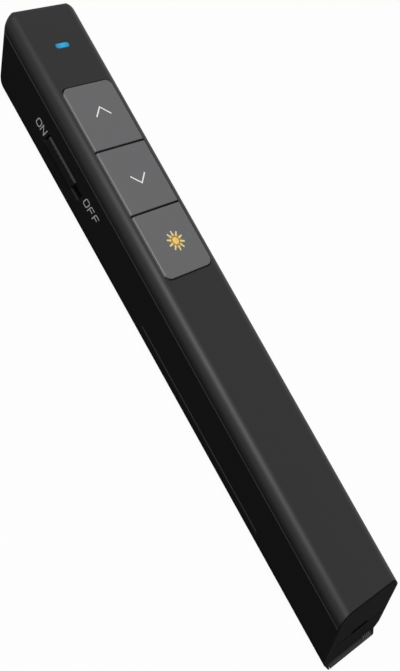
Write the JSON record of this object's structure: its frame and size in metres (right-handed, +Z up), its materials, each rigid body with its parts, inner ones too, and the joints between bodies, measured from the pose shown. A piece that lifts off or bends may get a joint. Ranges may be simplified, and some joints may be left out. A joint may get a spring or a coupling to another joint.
{
  "type": "wireless presentation clicker",
  "caption": "Slim raked stick handset with three top keys, a side slide switch, a laser in the nose, a hinged battery door and a stowed USB receiver.",
  "frame": {"origin": "under the middle of the stick, on the surface it lies on", "axes": "+X to the right across the keys, +Y along the stick towards the nose with the laser, +Z up through the keys"},
  "size_m": [0.0197, 0.1478, 0.0143],
  "materials": {
    "shell": "satin moulded black, fine spark texture",
    "cover": "soft satin black",
    "keys": "satin mid grey",
    "dark_plastic": "satin black",
    "light_pipe": "clear blue, lit",
    "window": "clear dark red",
    "board": "green solder mask",
    "chip": "moulded epoxy",
    "ceramic": "ceramic with tinned ends",
    "white_plastic": "moulded white",
    "steel": "nickel plated",
    "brass": "turned brass",
    "gold": "gold plated contacts",
    "lens": "clear",
    "cell": "plain printed sleeve on a steel can"
  },
  "bodies": {
    "handset": {"bottom_shell": "shell", "top_cover": "cover", "page_up_switch": "steel", "page_down_switch": "steel", "laser_switch": "steel", "switch_case": "steel", "light_pipe": "light_pipe", "status_led": "white_plastic", "main_board": "board", "radio_chip": "chip", "crystal": "steel", "chip_capacitors": "ceramic", "board_screws": "steel", "laser_barrel": "brass", "laser_lens": "lens", "laser_diode": "gold", "laser_board": "board", "laser_window": "window", "battery_cell": "cell", "battery_spring": "steel", "spring_plate": "steel", "contact_plate": "steel", "receiver_magnet": "steel", "case_screw": "steel"},
    "page_up": {"page_up_key": "keys", "page_up_plunger": "dark_plastic"},
    "page_down": {"page_down_key": "keys", "page_down_plunger": "dark_plastic"},
    "laser_button": {"laser_key": "keys", "laser_plunger": "dark_plastic"},
    "power_slider": {"power_knob": "dark_plastic", "switch_lever": "white_plastic"},
    "door": {"battery_door": "shell"},
    "receiver": {"receiver_housing": "dark_plastic", "usb_plug_shell": "steel", "usb_tongue": "white_plastic", "usb_contacts": "gold", "receiver_board": "board"}
  },
  "joints": [
    {"name": "page_up_press", "type": "slide", "parent": "handset", "child": "page_up", "axis": [0, 0, -1], "range_m": [0, 0.00045], "stiffness_N_per_m": 3500},
    {"name": "page_down_press", "type": "slide", "parent": "handset", "child": "page_down", "axis": [0, 0, -1], "range_m": [0, 0.00045], "stiffness_N_per_m": 3500},
    {"name": "laser_press", "type": "slide", "parent": "handset", "child": "laser_button", "axis": [0, 0, -1], "range_m": [0, 0.00045], "stiffness_N_per_m": 3500},
    {"name": "power_slide", "type": "slide", "parent": "handset", "child": "power_slider", "axis": [0, -1, 0], "range_m": [0, 0.0025]},
    {"name": "door_swing", "type": "hinge", "parent": "handset", "child": "door", "pos_m": [0, -0.0449, 0], "axis": [-1, 0, 0], "range_deg": [0, 75]},
    {"name": "receiver_pull", "type": "slide", "parent": "handset", "child": "receiver", "axis": [0, -1, 0], "range_m": [0, 0.02]}
  ]
}
